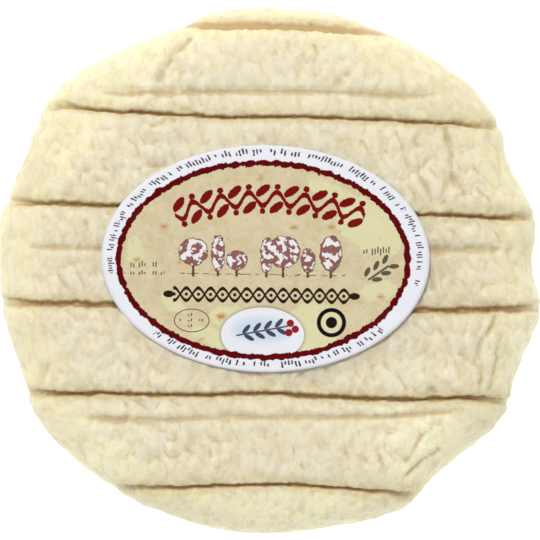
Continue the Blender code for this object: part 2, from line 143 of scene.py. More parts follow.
# Finer relief of the rind, which the solid leaves out: how high, and how long across and along
PUFFS = [(1.05 * MM, 3.6 * MM, 4.8 * MM), (0.36 * MM, 1.8 * MM, 2.8 * MM)]
CURDS = [(0.38 * MM, 3.8 * MM), (0.12 * MM, 2.0 * MM)]
WRINKLE_HEIGHT = 0.26 * MM
WRINKLE_SIZE = (1.15 * MM, 4.5 * MM)
GRAIN_HEIGHT = 0.05 * MM
GRAIN_SIZE = 0.8 * MM
LIP_HEIGHT = 0.30 * MM
LIP_SIZE = 1.2 * MM
LIP_REACH = 1.1 * MM
SCALLOP_LENGTH = 1.5 * MM

# Colour of the rind. Bands beside a groove: how far behind its middle, and how wide. The first is yellower
# rind; the bands behind and before it carry painted shade.
GROOVE_BANDS = {"by_groove": (0.0, 1.6), "shade_behind_groove": (1.0, 1.3), "shade_before_groove": (-0.55, 0.7)}
# Painted light and shade laid over the ground one after another, paler on the low sides and in pale places,
# darker elsewhere: the mesh attribute that shows each, its share, its colour
RIND_TINTS = [
    ("low", 0.6, (252, 247, 217)), ("pale", 0.8, (268, 263, 224)), ("painted_shade", 0.5, (228, 217, 180)),
    ("label_shadow", 0.45, (198, 190, 174)), ("fold", 0.35, (206, 182, 132)),
    ("shade_behind_groove", 0.42, (220, 201, 153)), ("shade_before_groove", 0.5, (206, 182, 130)),
    ("faint", 0.45, (206, 182, 128)),
]
HOLLOW_SCALE = 0.12 * MM
# Places painted lighter, as painted light, and places painted darker, as painted shade: the middle, and how
# far across and along
PAINTED_LIGHT_PLACES = [
    (6.0, -51.0, 26.0, 5.5), (32.0, -36.0, 11.0, 11.0), (-39.0, -40.0, 11.0, 10.0), (51.5, -15.0, 5.0, 9.0),
]
PAINTED_SHADE_PLACES = [(35.0, 34.0, 11.0, 9.0), (36.0, 2.0, 4.0, 12.0), (-49.0, 20.0, 5.0, 8.0)]

# Label
LABEL_LENGTH = 66.4 * MM
LABEL_WIDTH = 45.9 * MM
LABEL_THICK = 0.16 * MM
LABEL_AT = (-0.9 * MM, 2.3 * MM)
LABEL_TURN = math.radians(-0.8)
LABEL_CLEAR = 0.26 * MM
LABEL_SAG = 0.18 * MM
LABEL_UNEVEN = 0.05 * MM
LABEL_LIFT = 0.50 * MM
LABEL_LOOSE_AT = math.radians(-50.0)
SHADED_BY_LABEL = 2.6 * MM
LABEL_RINGS = 40
LABEL_SEGMENTS = 200

# Mesh of the loaf
CAP_PLACES = 264
PLACE_SPACING = 0.38 * MM
ROW_SPACING = 0.55 * MM
DENSER_BY = 1.6
DENSER_WITHIN = 1.2 * MM
FACE_SHARE = 0.945
FOOT_SHARE = 0.90
UPPER_RINGS = 11
LOWER_RINGS = 9
CAP_SHARE = 0.33


# Functions of the form

def smoothstep(low, high, value):
    t = np.clip((value - low) / (high - low), 0.0, 1.0)
    return t * t * (3.0 - 2.0 * t)


def bell(away):
    """1 at 0, falling off evenly to both sides, and near 0 at 2."""
    return np.exp(-(away ** 2))


def waves(x, y, z, length, seed):
    """Smooth noise from about -1 to 1 with waves of this length, different for each seed."""
    shift = Vector((3.1 * seed, 7.7 - seed, 1.3 + 2.0 * seed))
    places = np.stack([x, y, z], axis=1) / length
    return np.array([noise.noise(Vector(place) + shift) for place in places])


def cut_corners(points, rounds, closed):
    for _ in range(rounds):
        ends = zip(points, points[1:] + points[:1]) if closed else zip(points, points[1:])
        cut = [tuple(a + (b - a) * share for a, b in zip(p, q)) for p, q in ends for share in (0.25, 0.75)]
        points = cut if closed else [points[0]] + cut + [points[-1]]
    return points


def make_rim_table():
    rim = np.array(cut_corners(RIM_CORNERS, CORNER_CUTS, closed=True)) * MM
    angles = np.arctan2(rim[:, 1], rim[:, 0])
    order = np.argsort(angles)
    return angles[order], np.hypot(rim[:, 0], rim[:, 1])[order]


RIM_ANGLES, RIM_RADII = make_rim_table()
COURSES = [np.array(cut_corners(groove["course"], 2, closed=False)) * MM for groove in GROOVES]


def rim_radius(angle):
    return np.interp(angle, RIM_ANGLES, RIM_RADII, period=math.tau)


def share_to_rim(x, y):
    return np.hypot(x, y) / rim_radius(np.arctan2(y, x))


def groove_y(index, x):
    course = COURSES[index]
    y = np.interp(x, course[:, 0], course[:, 1])
    for end, inner in ((0, 1), (-1, -2)):
        slope = (course[end, 1] - course[inner, 1]) / (course[end, 0] - course[inner, 0])
        outside = x < course[0, 0] if end == 0 else x > course[-1, 0]
        y = np.where(outside, course[end, 1] + (x - course[end, 0]) * slope, y)
    return y


def facet_drops(x, y):
    drops = []
    for facing, start, slope in RIM_FACETS:
        angle = math.radians(facing)
        beyond = x * math.cos(angle) + y * math.sin(angle) - start * MM
        drops.append(slope * np.maximum(0.0, beyond))
    return drops


def top_height(x, y):
    share = np.minimum(share_to_rim(x, y), 1.0)
    drops = [(LOAF_HEIGHT - WIDEST_AT) * (1.0 - np.sqrt(1.0 - share ** TOP_ROUNDNESS))]
    drops += facet_drops(x, y)
    return LOAF_HEIGHT - sum((drop / MM) ** 4 for drop in drops) ** 0.25 * MM


def foot_height(x, y):
    share = np.minimum(share_to_rim(x, y), 1.0)
    return WIDEST_AT * (1.0 - np.sqrt(1.0 - share ** FOOT_ROUNDNESS))


def distance_to_course(x, y, course):
    nearest = np.full(x.shape, 1.0)
    for (x0, y0), (x1, y1) in zip(course, course[1:]):
        along = ((x - x0) * (x1 - x0) + (y - y0) * (y1 - y0)) / ((x1 - x0) ** 2 + (y1 - y0) ** 2)
        along = np.clip(along, 0.0, 1.0)
        nearest = np.minimum(nearest, np.hypot(x - x0 - along * (x1 - x0), y - y0 - along * (y1 - y0)))
    return nearest


def strip_drop(x, y):
    """How far the strips between two grooves lie below the pillows beside them."""
    drop = np.zeros(x.shape)
    for back, front, back_drop, front_drop in STRIPS:
        y_back, y_front = groove_y(back, x), groove_y(front, x)
        down = np.clip((y_back - y) / (y_back - y_front), -1.0, 2.0)
        inside = smoothstep(-0.12, 0.02, down) * (1.0 - smoothstep(0.98, 1.12, down))
        slanting = back_drop + (front_drop - back_drop) * np.clip(down, 0.0, 1.0)
        drop = np.maximum(drop, slanting * MM * inside)
    return drop


def faint_groove(index, x, y):
    """How far inside a faint groove each place is, from 0 to about 1."""
    still = np.zeros(x.shape)
    bend = 0.5 * MM * waves(x, still, still, 6.0 * MM, index + 1)
    strength = 0.80 + 0.35 * waves(x, still, still, 9.0 * MM, index + 12)
    away = np.abs(y - groove_y(index, x)) + bend
    return bell(away / (GROOVES[index]["half_width"] * MM)) * strength


def slit_groove(index, x, y, opened):
    """How far inside a deep groove each place is, from 0 to 1, and how far behind its middle."""
    still = np.zeros(x.shape)
    behind = y - groove_y(index, x) - GROOVE_WANDER * waves(x, still, still, WANDER_LENGTH, index + 1)
    width = 1.0 + WIDTH_VARIES * waves(x, still, still, 1.3 * WANDER_LENGTH, index + 12)
    width += 0.9 * np.abs(waves(x, still, still, SCALLOP_LENGTH, index + 30)) - 0.25
    notches = np.abs(waves(x, y, still, SCALLOP_LENGTH, index + 50))
    width += np.where(behind > 0, 0.80, 0.32) * notches
    half_width = GROOVES[index]["half_width"] * MM * (width + opened)
    return 1.0 - smoothstep(half_width - WALL_SLOPE, half_width + WALL_SLOPE, np.abs(behind)), behind


def groove_depth(x, y):
    """Depth, how far inside a slit and a faint groove each place is, and how far behind the nearest slit."""
    share = share_to_rim(x, y)
    opening = smoothstep(0.84, 0.99, share)
    fading = 1.0 - smoothstep(*FAINT_ENDS, share)
    depth = strip_drop(x, y) * fading
    slit, faint, nearest = np.zeros(x.shape), np.zeros(x.shape), np.ones(x.shape)
    for index, groove in enumerate(GROOVES):
        if groove["depth"] < DEEP_FROM:
            shown = faint_groove(index, x, y) * fading
            depth = depth + groove["depth"] * MM * shown
            faint = np.maximum(faint, shown)
            continue
        opened = groove.get("opens", GROOVE_OPENS) * opening
        inside, behind = slit_groove(index, x, y, opened)
        edge = np.maximum(depth, PILLOW_DROP * bell(behind / PILLOW_REACH))
        depth = edge + (groove["depth"] * MM * (1.0 - 0.35 * opening) - edge) * inside
        slit = np.maximum(slit, inside * (1.0 - 0.5 * opened))
        nearest = np.where(np.abs(behind) < np.abs(nearest), behind, nearest)
    return depth, slit, faint, nearest


def fold_depth(x, y):
    depth = still = np.zeros(x.shape)
    bent_x = x + 0.9 * MM * waves(x, y, still, 5.0 * MM, 61) + 0.35 * MM * waves(x, y, still, 1.8 * MM, 64)
    bent_y = y + 0.9 * MM * waves(x, y, still, 5.0 * MM, 62)
    strength = np.clip(0.95 + 0.6 * waves(x, y, still, 3.4 * MM, 65), 0.5, 1.2)
    for full_depth, half_width, course in FOLDS:
        away = distance_to_course(bent_x, bent_y, np.array(course) * MM) / (half_width * MM)
        depth = np.maximum(depth, full_depth * MM * strength * bell(away))
    ragged = 1.0 + 0.5 * waves(x, y, still, 1.2 * MM, 63)
    for at_x, at_y, radius, full_depth in DIMPLES:
        away = np.hypot(x - at_x * MM, y - at_y * MM) / (radius * MM)
        depth = depth + full_depth * MM * ragged * bell(away)
    return depth


def label_place(x, y):
    """Coordinates along and across the label, as shares of its half sizes."""
    turn = np.array(Matrix.Rotation(-LABEL_TURN, 2))
    away = np.stack([x - LABEL_AT[0], y - LABEL_AT[1]], axis=-1) @ turn.T
    return away[..., 0] / (LABEL_LENGTH / 2), away[..., 1] / (LABEL_WIDTH / 2)


def kept_unevenness(x, y, z, least):
    """1 outside the label, down to the least where the label presses the top flat."""
    under_label = np.hypot(*label_place(x, y))
    kept = least + (1.0 - least) * smoothstep(0.94, 1.04, under_label)
    return np.where(z > WIDEST_AT, kept, 1.0)


# Mesh of the loaf

def rim_crossing(index, side):
    """The angle at which a groove meets the edge of the top face, found by halving."""
    inner, outer = 0.0, side * 80 * MM
    for _ in range(40):
        middle = (inner + outer) / 2
        if share_to_rim(middle, groove_y(index, middle)) < FACE_SHARE:
            inner = middle
        else:
            outer = middle
    return math.atan2(groove_y(index, inner), inner)


def line_ends():
    """Both end angles of each groove, and before and after them those of the two caps' edges."""
    ends = [(rim_crossing(i, -1) % math.tau, rim_crossing(i, 1)) for i in range(len(GROOVES))]
    (back_left, back_right), (front_left, front_right) = ends[0], ends[-1]
    back = CAP_SHARE * (back_left - back_right)
    front = CAP_SHARE * (front_right + math.tau - front_left)
    return [(back_left - back, back_right + back), *ends, (front_left + front, front_right - front)]


def edge_point(angle, share):
    radius = rim_radius(angle) * share
    return np.stack([radius * np.cos(angle), radius * np.sin(angle)], axis=-1)


def line_points(line, ends, across, share):
    left, right = ends[line]
    if line == 0:
        return edge_point(left + (right - left) * across, share)
    if line == len(ends) - 1:
        return edge_point(left + (right + math.tau - left) * across, share)
    x = edge_point(left, share)[0] * (1 - across) + edge_point(right, share)[0] * across
    return np.stack([x, groove_y(line - 1, x)], axis=-1)


def row_positions(ends):
    """Rows between each line and the next, closer together near the deep grooves. Even in number."""
    rows = []
    for line in range(len(ends) - 1):
        upper, lower = [line_points(k, ends, np.array([0.5]), FACE_SHARE)[0, 1] for k in (line, line + 1)]
        width = upper - lower
        t = np.linspace(0.0, 1.0, 400)
        density = np.ones(400)
        for k, away in ((line, t), (line + 1, 1.0 - t)):
            if 0 < k <= len(GROOVES) and GROOVES[k - 1]["depth"] > DEEP_FROM:
                density += DENSER_BY * bell(away * width / DENSER_WITHIN)
        total = np.concatenate([[0.0], np.cumsum((density[1:] + density[:-1]) / 2)]) * (t[1] - t[0])
        count = 2 * max(2, round(total[-1] * width / ROW_SPACING / 2))
        places = np.interp(np.arange(count) / count * total[-1], total, t)
        rows += [(line, place) for place in places]
    return rows + [(len(ends) - 2, 1.0)]


def face_places(rows, ends, across, share):
    """Places of one face of the loaf, row by row: an array of rows by columns by 2."""
    places = []
    for line, down in rows:
        (left_0, right_0), (left_1, right_1) = ends[line], ends[line + 1]
        upper = line_points(line, ends, across, share)
        lower = line_points(line + 1, ends, across, share)
        middle = upper * (1 - down) + lower * down
        left = edge_point(left_0 + (left_1 - left_0) * down, share) - middle[0]
        right = edge_point(right_0 + (right_1 - right_0) * down, share) - middle[-1]
        places.append(middle + left * (1 - across)[:, None] + right * across[:, None])
    return np.array(places)


def boundary(numbers):
    """The numbers round the edge of a grid, clockwise from above, starting at its back left corner."""
    return np.concatenate([numbers[0], numbers[1:, -1], numbers[-1, -2::-1], numbers[-2:0:-1, 0]])


def filled_face(rows, ends, across, share, spacing):
    """Places of one face, its rim first, and the triangles between them, which face up."""
    grid = face_places(rows, ends, across, share)
    rim = grid.reshape(-1, 2)[boundary(np.arange(grid.shape[0] * grid.shape[1]).reshape(grid.shape[:2]))]
    places = [rim]
    for row in grid[1:-1]:
        x = np.arange(math.ceil(row[0, 0] / spacing + 0.4), row[-1, 0] / spacing - 0.4) * spacing
        places.append(np.column_stack([x, np.interp(x, row[:, 0], row[:, 1])]))
    places = np.concatenate(places)
    edges = [(k, (k + 1) % len(rim)) for k in range(len(rim))]
    found = geometry.delaunay_2d_cdt([Vector(place) for place in places], edges, [], 1, 1e-7)
    origins = [origin[0] for origin in found[3]]
    return places, len(rim), [[origins[k] for k in face] for face in found[2]]


def loaf_mesh():
    """Vertices and faces of the loaf before its grooves are sunk."""
    ends = line_ends()
    rows = row_positions(ends)
    across = np.linspace(0.0, 1.0, CAP_PLACES + 1)
    top, rim_count, faces = filled_face(rows, ends, across, FACE_SHARE, PLACE_SPACING)
    vertices = [np.column_stack([top, top_height(*top.T)])]
    loop = np.arange(rim_count)
    ring = vertices[0][loop]
    count = len(top)

    def add_ring(widen, new_heights):
        nonlocal ring, loop, count
        ring = np.column_stack([ring[:, :2] * widen, new_heights])
        vertices.append(ring)
        new_loop = np.arange(count, count + len(ring))
        count += len(ring)
        faces.extend(np.stack([np.roll(loop, -1), np.roll(new_loop, -1), new_loop, loop], axis=1).tolist())
        loop = new_loop

    full_rise = math.sqrt(1.0 - FACE_SHARE ** TOP_ROUNDNESS)
    rises = [full_rise * (1 - k / UPPER_RINGS) for k in range(UPPER_RINGS + 1)]
    shares = [(1.0 - rise * rise) ** (1.0 / TOP_ROUNDNESS) for rise in rises]
    for k in range(1, UPPER_RINGS + 1):
        kept = rises[k] / rises[k - 1]
        add_ring(shares[k] / shares[k - 1], WIDEST_AT + (ring[:, 2] - WIDEST_AT) * kept)
    full_fall = math.sqrt(1.0 - FOOT_SHARE ** FOOT_ROUNDNESS)
    falls = [full_fall * k / LOWER_RINGS for k in range(LOWER_RINGS)]
    shares = [(1.0 - fall * fall) ** (1.0 / FOOT_ROUNDNESS) for fall in falls]
    for k in range(1, LOWER_RINGS):
        add_ring(shares[k] / shares[k - 1], np.full(len(ring), WIDEST_AT * (1.0 - falls[k])))

    foot, rim_count, foot_faces = filled_face(rows[::2], ends, across[::2], FOOT_SHARE, 2 * PLACE_SPACING)
    vertices.append(np.column_stack([foot, foot_height(*foot.T)]))
    faces += [[count + k for k in reversed(face)] for face in foot_faces]
    foot_loop = count + np.arange(rim_count)
    a, b, c = loop[0::2], loop[1::2], np.roll(loop, -2)[0::2]
    p, q = foot_loop, np.roll(foot_loop, -1)
    for triangle in ((a, b, p), (p, b, q), (b, c, q)):
        faces += np.stack(triangle, axis=1).tolist()
    return np.concatenate(vertices), faces


def new_mesh(name, vertices, faces):
    mesh = bpy.data.meshes.new(name)
    mesh.from_pydata(vertices.tolist(), [], faces)
    mesh.update()
    return mesh


def vertex_normals(mesh):
    normals = np.empty(len(mesh.vertices) * 3)
    mesh.vertices.foreach_get("normal", normals)
    return normals.reshape(-1, 3)


def hollowness(mesh, vertices, normals, rounds=7):
    """How far each vertex lies below the mean surface around it, in units of HOLLOW_SCALE, for painted shade
    in hollows.
    """
    edges = np.empty(len(mesh.edges) * 2, dtype=np.int64)
    mesh.edges.foreach_get("vertices", edges)
    a, b = edges.reshape(-1, 2).T
    here, there = np.concatenate([a, b]), np.concatenate([b, a])
    number = np.bincount(here, minlength=len(vertices))
    mean = vertices
    for _ in range(rounds):
        total = [np.bincount(here, weights=mean[there, k], minlength=len(vertices)) for k in range(3)]
        mean = (mean + np.stack(total, axis=1) / number[:, None]) / 2
    return np.einsum("ij,ij->i", mean - vertices, normals) / HOLLOW_SCALE


def scattered(cell, seed):
    """An even random number from 0 to 1 for each cell of a grid, told apart by three whole numbers."""
    mixed = cell[:, 0] * 73856093 ^ cell[:, 1] * 19349663 ^ cell[:, 2] * 83492791 ^ (seed * 2654435761)
    mixed = (mixed & 0xFFFFFFFF) * 2246822519 & 0xFFFFFFFF
    mixed = ((mixed ^ (mixed >> 15)) * 3266489917) & 0xFFFFFFFF
    return (mixed ^ (mixed >> 16)) / 0xFFFFFFFF


def curd_edges(x, y, z, size, seed):
    """Curds, cells of a scattered grid: how far inside its curd each place is, and the curd's number."""
    place = np.stack([x, y, z], axis=1) / size
    corner = np.floor(place).astype(np.int64)
    nearest = second = np.full(len(x), 9.0)
    own = np.zeros(len(x))
    for step in np.ndindex(3, 3, 3):
        cell = corner + np.array(step) - 1
        middle = cell + np.stack([scattered(cell, seed + k) for k in range(3)], axis=1)
        away = np.linalg.norm(place - middle, axis=1)
        own = np.where(away < nearest, scattered(cell, seed + 3), own)
        second = np.minimum(second, np.maximum(nearest, away))
        nearest = np.minimum(nearest, away)
    return second - nearest, own


def fine_relief(x, y, z, rim):
    """Puffs and curds with creases between them, wrinkles and grain. Also how near a crease each is."""
    slant = x + 0.22 * y + 0.9 * MM * waves(x, y, z, 5.0 * MM, 31)
    bent = y + 0.9 * MM * waves(x, y, z, 5.0 * MM, 32)
    strength = 0.70 + 0.9 * waves(x, y, z, 16.0 * MM, 33)
    relief, crease = np.zeros(x.shape), np.zeros(x.shape)
    for number, (height, across, along) in enumerate(PUFFS):
        hump = waves(slant / across, bent / along, z / across, 1.0, 21 + number)
        relief += height * (np.abs(hump) ** 0.8 - 0.33) * strength
        crease = np.maximum(crease, bell(hump / 0.09) * (0.7 - 0.3 * number))
    for number, (height, size) in enumerate(CURDS):
        shown = smoothstep(-0.15, 0.35, waves(x, y, z, 9.0 * MM, 34 + number))
        inward, own = curd_edges(slant, 0.8 * bent, z, size, 40 + 10 * number)
        dome = 1.0 - bell(inward / 0.30)
        relief += height * (dome * (0.7 + 0.6 * own) - 0.5) * (0.25 + 0.75 * shown)
        crease = np.maximum(crease, bell(inward / 0.10) * shown)
    across, along = WRINKLE_SIZE
    shown = smoothstep(-0.1, 0.4, waves(x, y, z, 12.0 * MM, 37))
    relief += WRINKLE_HEIGHT * waves(slant / across, bent / along, z / across, 1.0, 24) * (0.4 + shown)
    relief += GRAIN_HEIGHT * waves(x, y, z, GRAIN_SIZE, 25)
    return relief * (1.0 - 0.5 * rim), crease * (1.0 - 0.5 * rim)


def make_cheese():
    vertices, faces = loaf_mesh()
    mesh = new_mesh("cheese_rind", vertices, faces)
    normals = vertex_normals(mesh)
    x, y, z = vertices.T
    upper = smoothstep(WIDEST_AT, LOAF_HEIGHT * 0.8, z)
    from_top = GROOVE_ON_SIDE + (1 - GROOVE_ON_SIDE) * upper
    from_foot = GROOVE_ON_SIDE + (GROOVE_BELOW - GROOVE_ON_SIDE) * smoothstep(WIDEST_AT, 0.0, z)
    reach = np.where(z > WIDEST_AT, from_top, from_foot)
    depth, slit, faint, nearest = groove_depth(x, y)
    folds = fold_depth(x, y)
    sink = depth * reach + folds * upper
    rough = SWELL_HEIGHT * waves(x, y, z, SWELL_LENGTH, 0) + LUMP_HEIGHT * waves(x, y, z, LUMP_LENGTH, 10)
    moves = rough * kept_unevenness(x, y, z, PRESSED_BY_LABEL) - sink
    rim = rim_mask(x, y, z)
    fine, crease = fine_relief(x, y, z, rim)
    lips = waves(x, y, z, LIP_SIZE, 23) * bell(nearest / LIP_REACH)
    moves += (fine + LIP_HEIGHT * lips * reach) * kept_unevenness(x, y, z, RELIEF_BELOW_LABEL)

    placed = vertices + normals * moves[:, None]
    placed[:, 2] -= FOOT_FLATTENED * (1.0 - smoothstep(0.0, WIDEST_AT, placed[:, 2]))
    placed[:, 2] = np.maximum(0.0, placed[:, 2])
    mesh.vertices.foreach_set("co", (placed + SHIFT).ravel())
    mesh.update()
    mesh.shade_smooth()

    shown = {
        # The faint and fold masks set painted shade in faint grooves and folds
        "slit": slit * reach, "faint": faint * reach, "fold": np.clip(folds / FOLD_SHOWN, 0.0, 1.0) * reach,
        # Painted light in the pale places, painted shade in the dull ones
        "pale": near_places(x, y, PAINTED_LIGHT_PLACES), "painted_shade": near_places(x, y, PAINTED_SHADE_PLACES),
        # Painted shadow of the label on the rind, next to the label's edge
        "label_shadow": label_shadow_share(x, y), "rim": rim, "crease": crease,
        # Painted light: the lower sides are painted paler than the top
        "low": 1.0 - smoothstep(WIDEST_AT * 0.9, LOAF_HEIGHT * 0.85, z),
        "hollow_shade": hollowness(mesh, placed, vertex_normals(mesh)),
    }
    for name, (middle, width) in GROOVE_BANDS.items():
        shown[name] = bell((nearest - middle * MM) / (width * MM)) * reach
    for name, values in shown.items():
        mesh.attributes.new(name, "FLOAT", "POINT").data.foreach_set("value", values.astype(np.float32))
    return mesh


def near_places(x, y, places):
    """1 in the middle of each place, falling off to its reach and beyond."""
    near = np.zeros(x.shape)
    for at_x, at_y, across, along in places:
        away = np.hypot((x - at_x * MM) / across, (y - at_y * MM) / along) / MM
        near = np.maximum(near, bell(away))
    return near


def label_shadow_share(x, y):
    """Painted shadow of the label on the rind: 1 at the label's edge, most where it is loose, falling off
    away from it.
    """
    u, v = label_place(x, y)
    outward = np.maximum(0.0, np.hypot(u, v) - 1.0) * LABEL_WIDTH / 2
    loose = 0.6 + 0.4 * np.cos(np.arctan2(v, u) - LABEL_LOOSE_AT)
    return loose * bell(outward / SHADED_BY_LABEL)


def rim_mask(x, y, z):
    """0 on the level part of the top, 1 where the loaf slants down to its rim, and below."""
    fallen = LOAF_HEIGHT - np.minimum(top_height(x, y), z)
    return smoothstep(0.15 * MM, 2.2 * MM, fallen)


# Mesh of the label

def label_height(x, y):
    height = top_height(x, y) + LABEL_CLEAR
    for index, groove in enumerate(GROOVES):
        if groove["depth"] > DEEP_FROM:
            height = height - LABEL_SAG * bell((y - groove_y(index, x)) / (1.6 * PILLOW_REACH))
    u, v = label_place(x, y)
    loose = np.maximum(0.0, np.cos(np.arctan2(v, u) - LABEL_LOOSE_AT))
    return height + LABEL_LIFT * loose * smoothstep(0.55, 1.0, np.hypot(u, v))


def make_label():
    shares = [k / LABEL_RINGS for k in range(1, LABEL_RINGS + 1)]
    angles = np.arange(LABEL_SEGMENTS) * math.tau / LABEL_SEGMENTS
    flat = [np.zeros((1, 2))] + [np.stack([np.cos(angles), np.sin(angles)], axis=1) * s for s in shares]
    flat = np.concatenate(flat) * (LABEL_LENGTH / 2, LABEL_WIDTH / 2)
    flat = flat @ np.array(Matrix.Rotation(LABEL_TURN, 2)).T + LABEL_AT
    x, y = flat.T
    under = label_height(x, y) + LABEL_UNEVEN * waves(x, y, np.zeros(x.shape), 9.0 * MM, 41)
    upper = under + LABEL_THICK
    vertices = np.concatenate([np.column_stack([flat, upper]), np.column_stack([flat, under])])
    half = len(flat)
    faces, print_faces = [], 0
    for start, flip in ((0, False), (half, True)):
        inner = start + 1 + np.arange(LABEL_SEGMENTS)
        made = np.stack([np.full(LABEL_SEGMENTS, start), inner, np.roll(inner, -1)], axis=1).tolist()
        for _ in range(LABEL_RINGS - 1):
            outer = inner + LABEL_SEGMENTS
            made += np.stack([inner, outer, np.roll(outer, -1), np.roll(inner, -1)], axis=1).tolist()
            inner = outer
        faces += [face[::-1] for face in made] if flip else made
        print_faces = print_faces or len(made)
    edge = half - LABEL_SEGMENTS + np.arange(LABEL_SEGMENTS)
    faces += np.stack([edge, edge + half, np.roll(edge + half, -1), np.roll(edge, -1)], axis=1).tolist()
    mesh = new_mesh("label_paper", vertices + SHIFT, faces)
    mesh.shade_smooth()
    u, v = label_place(x, y)
    places = np.column_stack([u * LABEL_LENGTH / 2, v * LABEL_WIDTH / 2, np.zeros(half)]) / MM
    places = np.concatenate([places, places]).astype(np.float32)
    mesh.attributes.new("print_place", "FLOAT_VECTOR", "POINT").data.foreach_set("vector", places.ravel())
    mesh.polygons.foreach_set("material_index", [0] * print_faces + [1] * (len(faces) - print_faces))
    return mesh


# Materials

BRIGHTNESS = 1.21  # of a white surface in this studio, so that colours can be named as they look


def tone(red, green, blue):
    """A colour as it looks, in values from 0 to 255, turned into Blender's linear ones."""
    shares = [value / 255.0 for value in (red, green, blue)]
    linear = [s / 12.92 if s <= 0.04045 else ((s + 0.055) / 1.055) ** 2.4 for s in shares]
    return tuple(value / BRIGHTNESS for value in linear) + (1.0,)


class Nodes:
    """Short names for the nodes of one material."""

    def __init__(self, name):
        self.material = bpy.data.materials.new(name)
        self.material.use_nodes = True
        self.tree = self.material.node_tree
        self.shader = self.tree.nodes["Principled BSDF"]

    def add(self, kind, inputs, **settings):
        node = self.tree.nodes.new(kind)
        for name, value in settings.items():
            setattr(node, name, value)
        for key, value in inputs.items():
            self.feed(node.inputs[key], value)
        return node

    def feed(self, socket, value):
        if isinstance(value, bpy.types.NodeSocket):
            self.tree.links.new(value, socket)
        else:
            socket.default_value = value

    def surface(self, values):
        """Sets or links the shader's own sockets."""
        for name, value in values.items():
            self.feed(self.shader.inputs[name], value)

    def calc(self, operation, *values):
        return self.add("ShaderNodeMath", dict(enumerate(values)), operation=operation).outputs[0]

    def plus(self, first, second):
        return self.calc("ADD", first, second)

    def less(self, first, second):
        return self.calc("SUBTRACT", first, second)

    def times(self, first, second):
        return self.calc("MULTIPLY", first, second)

    def vector(self, operation, *values):
        return self.add("ShaderNodeVectorMath", dict(enumerate(values)), operation=operation).outputs[0]

    def attribute(self, name):
        return self.add("ShaderNodeAttribute", {}, attribute_name=name).outputs["Fac"]

    def noise(self, place, scale, detail=2.0, roughness=0.5, distortion=0.0):
        inputs = {"Vector": place, "Scale": scale, "Detail": detail, "Roughness": roughness,
                  "Distortion": distortion}
        return self.add("ShaderNodeTexNoise", inputs).outputs["Fac"]

    def between(self, value, low, high, to_low=0.0, to_high=1.0):
        inputs = {"Value": value, "From Min": low, "From Max": high, "To Min": to_low, "To Max": to_high}
        return self.add("ShaderNodeMapRange", inputs, interpolation_type="SMOOTHSTEP").outputs["Result"]

    def mix(self, share, first, second):
        node = self.add("ShaderNodeMix", {}, data_type="RGBA")
        self.feed(node.inputs["Factor"], share)
        self.feed(node.inputs[6], first)
        self.feed(node.inputs[7], second)
        return node.outputs[2]

    def place_in_mm(self):
        where = self.add("ShaderNodeTexCoord", {}).outputs["Object"]
        return self.vector("MULTIPLY", where, (1000.0, 1000.0, 1000.0))

    def bump(self, height, distance):
        return self.add("ShaderNodeBump", {"Height": height, "Distance": distance}).outputs["Normal"]


def cheese_material():
    n = Nodes("cheese_rind")
    place = n.place_in_mm()
    patches = n.noise(place, 0.055, 3.0)
    blotches = n.noise(place, 0.30, 3.0, 0.6)
    stretched = n.vector("MULTIPLY", place, (1.0, 0.6, 1.0))
    curds = n.noise(stretched, 0.55, 3.0, 0.5, 0.3)
    grain = n.noise(place, 2.2, 3.0, 0.6)
    colour = n.mix(n.between(patches, 0.35, 0.65), tone(243, 232, 202), tone(240, 232, 207))
    colour = n.mix(n.times(n.between(blotches, 0.42, 0.66), 0.5), colour, tone(246, 235, 195))
    by_groove = n.times(n.attribute("by_groove"), 0.5)
    yellow = n.plus(n.times(n.attribute("rim"), 0.8), by_groove)
    yellow = n.times(yellow, n.between(blotches, 0.3, 0.65, 0.3, 1.0))
    colour = n.mix(n.calc("MINIMUM", yellow, 1.0), colour, tone(251, 243, 194))
    # Painted light and shade: each tint of RIND_TINTS in turn
    for name, share, shade in RIND_TINTS:
        colour = n.mix(n.times(n.attribute(name), share), colour, tone(*shade))
    # Painted shade and painted highlight: the curds noise that raises the bump also darkens its dips and
    # pales its tops
    colour = n.mix(n.between(curds, 0.52, 0.34, 0.0, 0.35), colour, tone(220, 201, 158))
    colour = n.mix(n.between(curds, 0.52, 0.66, 0.0, 0.4), colour, tone(250, 243, 218))
    # Darker tan in creases: partly the rind's own tan, partly painted shade
    colour = n.mix(n.times(n.attribute("crease"), 0.17), colour, tone(206, 178, 126))
    # Painted shade in hollows below the mean surface
    colour = n.mix(n.between(n.attribute("hollow_shade"), 0.2, 1.6, 0.0, 0.4), colour, tone(200, 172, 118))
    # Darker brown in the slits: painted shade of the deep grooves over the rind's own tan
    colour = n.mix(n.between(n.attribute("slit"), 0.15, 0.8, 0.0, 0.85), colour, tone(200, 164, 112))

    height = n.plus(n.times(curds, 0.8), n.times(grain, 0.2))
    n.surface({
        "Base Color": colour, "Normal": n.bump(height, 0.55 * MM),
        "Roughness": n.between(grain, 0.3, 0.7, 0.50, 0.72), "Specular IOR Level": 0.25,
        "Subsurface Weight": 0.25, "Subsurface Radius": (1.0, 0.75, 0.45), "Subsurface Scale": 0.7 * MM,
    })
    return n.material


def plain_paper():
    n = Nodes("label_back")
    fibres = n.noise(n.place_in_mm(), 3.0, 4.0, 0.6)
    colour = n.mix(fibres, tone(232, 232, 238), tone(244, 244, 248))
    n.surface({"Base Color": colour, "Normal": n.bump(fibres, 0.02 * MM), "Roughness": 0.55})
    return n.material


# Print of the label. Places and lengths are in millimetres; a distance is below zero inside its shape.
# An ellipse is its middle, its half sizes and its turn in degrees.

